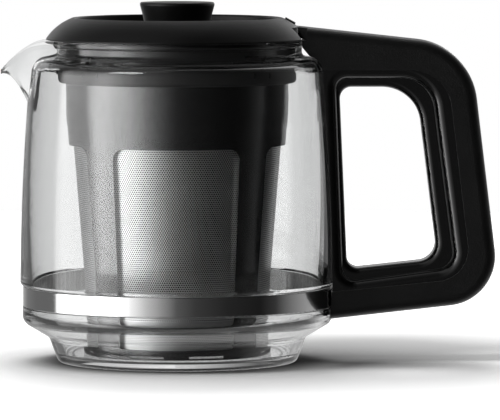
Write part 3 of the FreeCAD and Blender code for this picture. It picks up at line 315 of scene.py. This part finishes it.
LOOKS = [
    (GLASS, ["glass_jug"]),
    (STRIP, ["band_strip"]),
    (BAND, ["steel_band", "band_bracket"]),
    (PLAIN_STEEL, ["band_screw", "band_nut", "handle_screws", "lid_screws", "knob_screw"]),
    (MATTE, ["handle_shell"]),
    (GLOSS, ["handle_liner", "lock_marker"]),
    (BASKET, ["basket_frame", "base_ring"]),
    (SLEEVE, ["mesh_sleeve"]),
    (FLOOR_MESH, ["floor_mesh"]),
    (SATIN, ["basket_collar", "lid_skirt", "lid_plate"]),
    (SEAL, ["lid_seal"]),
    (LID, ["lid_cover", "knob"]),
]
for look, names in LOOKS:
    for name in names:
        slots = NODES[name].data.materials
        slots.clear()
        slots.append(look)


# ------------------------------------------------------------------ studio

# The room that gloss reflects, round the horizon: degrees from the camera's side towards
# +X, and how bright it is there. A tall panel on the left, a dark screen on the right.
ROOM_OUTSIDE = [
    (-180, 0.6), (-150, 0.2), (-130, 0.15), (-103, 0.15), (-99, 2.4), (-72, 2.4), (-62, 4.5),
    (-56, 4.5), (-46, 2.5), (-40, 1.6), (-34, 1.1), (-22, 0.6), (-10, 0.3), (0, 0.1),
    (14, 0.045), (38, 0.02), (65, 0.012), (79, 0.04), (96, 0.2), (115, 0.35), (150, 0.5),
    (180, 0.6),
]
# The same room for rays that passed through the glass on their way.
ROOM_INSIDE = [
    (-180, 0.7), (-150, 0.1), (-130, 0.05), (-108, 0.1), (-96, 3.6), (-56, 3.3), (-46, 3.0),
    (-40, 2.4), (-34, 1.6), (-22, 0.7), (-10, 0.25), (0, 0.09), (14, 0.045), (38, 0.02),
    (65, 0.012), (79, 0.04), (96, 0.2), (115, 0.33), (150, 0.6), (180, 0.9),
]
ROOM_PEAK = max(level for _, level in ROOM_OUTSIDE + ROOM_INSIDE)
# The ceiling that gloss reflects: the wall below it, held to a top level and dimmed.
CEILING_TOP = 0.9
CEILING_SHARE = 0.5
# The table that gloss reflects: dark in front, bright behind, and dark for rays that
# passed through the glass.
TABLE_FRONT = 0.1
TABLE_BACK = 1.0
TABLE_INSIDE = 0.08
# Where the table starts to brighten and is bright, as the Y of a ray's direction.
TABLE_NEAR = -0.3
TABLE_FAR = 0.5
# Where ceiling and table start and take over, as the Z of a ray's direction.
CEILING_START = 0.22
CEILING_FULL = 0.55
TABLE_START = -0.25
TABLE_FULL = -0.5
# What stands behind the glass: how near a ray points to one of the four ways along the
# floor's axes (the cosine), and how bright it is there. A white card straight behind on
# each side, and a dim studio in the corners.
CARD = [(0.0, 0.07), (0.35, 0.12), (0.6, 0.22), (0.82, 0.5), (0.93, 0.85), (0.97, 1.0)]
# The light from all round on what isn't glossy.
FILL = 0.1
# Tells a count of no bounces from one or more.
HALF_BOUNCE = 0.5


def seen_directly(g, rays):
    """1 for what the camera sees itself or through the glass, 0 for light and reflections."""
    unreflected = g.math("LESS_THAN", rays["Glossy Depth"], HALF_BOUNCE)
    through = g.math("MULTIPLY", rays["Is Transmission Ray"], unreflected)
    return g.math("MAXIMUM", rays["Is Camera Ray"], through)


def reflected(g, rays):
    """1 for a ray that left a glossy face, also after it passed through the glass."""
    after = g.math("GREATER_THAN", rays["Glossy Depth"], HALF_BOUNCE)
    through = g.math("MULTIPLY", rays["Is Transmission Ray"], after)
    return g.math("MAXIMUM", rays["Is Glossy Ray"], through)


def room_level(g, way, rays):
    """How bright the walls, ceiling and table are that gloss reflects along a direction."""
    turn = g.math("ARCTAN2", way["X"], g.math("MULTIPLY", way["Y"], -1.0))
    share = g.range(turn, -math.pi, math.pi)
    inside = g.math("GREATER_THAN", rays["Transmission Depth"], HALF_BOUNCE)
    walls = []
    for room in (ROOM_OUTSIDE, ROOM_INSIDE):
        stops = [((degrees + 180) / 360, level / ROOM_PEAK) for degrees, level in room]
        walls.append(g.ramp(share, stops))
    wall = g.math("MULTIPLY", g.blend(inside, *walls), ROOM_PEAK)
    ceiling = g.math("MULTIPLY", g.math("MINIMUM", wall, CEILING_TOP), CEILING_SHARE)
    table = g.range(way["Y"], TABLE_NEAR, TABLE_FAR, TABLE_FRONT, TABLE_BACK)
    table = g.blend(inside, table, TABLE_INSIDE)
    up = g.range(way["Z"], CEILING_START, CEILING_FULL, smooth=True)
    down = g.range(way["Z"], TABLE_START, TABLE_FULL, smooth=True)
    return g.blend(down, g.blend(up, wall, ceiling), table)


def glow(g, strength):
    """A white background light."""
    return g.add("Background", {"Color": (1, 1, 1, 1), "Strength": strength}).outputs[0]


def build_world():
    """White for the camera, cards behind the glass, a fill for matte faces, a room for gloss."""
    world = bpy.data.worlds.new("studio")
    bpy.context.scene.world = world
    world.use_nodes = True
    g = Graph(world.node_tree)
    way = g.add("SeparateXYZ", {0: g.add("TexCoord").outputs["Generated"]}).outputs
    rays = g.add("LightPath").outputs
    along_axis = g.math("MAXIMUM", g.math("ABSOLUTE", way["X"]), g.math("ABSOLUTE", way["Y"]))
    behind = g.math("MAXIMUM", g.ramp(along_axis, CARD), rays["Is Camera Ray"])
    light = g.either(reflected(g, rays), glow(g, FILL), glow(g, room_level(g, way, rays)))
    both = g.either(seen_directly(g, rays), light, glow(g, behind))
    g.add("OutputWorld", {"Surface": both})


FLOOR_RADIUS = 1.1
FLOOR_SIDES = 96
FLOOR_PATCH_SCALE = 8.0
# The floor as the camera sees it: whiter than its light alone would leave it, and darker
# close to the jug, where less of the room reaches it: a painted contact shadow in its colour.
FLOOR_WHITE = 1.9
CONTACT_REACH = 0.2
CONTACT_DEPTH = 1.6
CONTACT_SAMPLES = 16


def floor_material():
    """Pale and plain for light, white with a painted contact shadow when seen, absent from
    gloss.
    """
    made, g = new_graph("pale_floor")
    rays = g.add("LightPath").outputs
    plain = g.tint(g.spread(g.noise(FLOOR_PATCH_SCALE, 2.0)), grey(0.76), grey(0.78))
    # Painted shadow: ambient occlusion darkens the seen floor colour close to the jug.
    painted_shadow_openness = g.add("AmbientOcclusion", {"Distance": CONTACT_REACH},
                       samples=CONTACT_SAMPLES).outputs["AO"]
    white = g.tint(g.math("POWER", painted_shadow_openness, CONTACT_DEPTH), grey(0.0), grey(FLOOR_WHITE))
    matte = g.add("BsdfDiffuse", {"Color": g.tint(seen_directly(g, rays), plain, white)})
    clear = g.add("BsdfTransparent")
    shown = g.either(reflected(g, rays), matte.outputs[0], clear.outputs[0])
    g.add("OutputMaterial", {"Surface": shown})
    return made


def build_floor():
    """A round pale floor that reads white where it is lit and keeps the shadow, with a painted
    contact shadow added near the jug.
    """
    turns = [2 * math.pi * side / FLOOR_SIDES for side in range(FLOOR_SIDES)]
    rim = [(FLOOR_RADIUS * math.cos(turn), FLOOR_RADIUS * math.sin(turn), 0) for turn in turns]
    mesh = bpy.data.meshes.new("floor")
    mesh.from_pydata(rim, [], [tuple(range(FLOOR_SIDES))])
    mesh.materials.append(floor_material())
    floor = bpy.data.objects.new("floor", mesh)
    bpy.context.scene.collection.objects.link(floor)


def aim(item, place, target):
    """Put a lamp or camera in the scene, turned to look at a target."""
    item.location = place
    item.rotation_euler = (Vector(target) - Vector(place)).to_track_quat("-Z", "Y").to_euler()
    bpy.context.scene.collection.objects.link(item)


def area_lamp(name, place, side, power):
    """A square lamp aimed at the foot of the jug. Gloss sees the room instead of it."""
    data = bpy.data.lights.new(name, "AREA")
    data.shape = "SQUARE"
    data.size = side
    data.energy = power
    lamp = bpy.data.objects.new(name, data)
    lamp.visible_glossy = False
    aim(lamp, place, (0.0, 0.0, 0.0))


# A long lens, far off and a little above the jug.
CAMERA_PLACE = (0.0351, -2.9, 0.265)
CAMERA_TARGET = (0.0351, 0.0, 0.0733)
CAMERA_SENSOR = 36.0
CAMERA_LENS = 432.8


def build_camera():
    data = bpy.data.cameras.new("camera")
    data.sensor_width = CAMERA_SENSOR
    data.lens = CAMERA_LENS
    camera = bpy.data.objects.new("camera", data)
    aim(camera, CAMERA_PLACE, CAMERA_TARGET)
    bpy.context.scene.camera = camera


build_world()
build_floor()
area_lamp("left_top", (-0.7, -0.55, 1.2), side=0.5, power=11.5)
area_lamp("back_top", (0.0, 0.95, 1.3), side=0.7, power=9.5)
build_camera()
bpy.context.scene.view_settings.view_transform = "Standard"
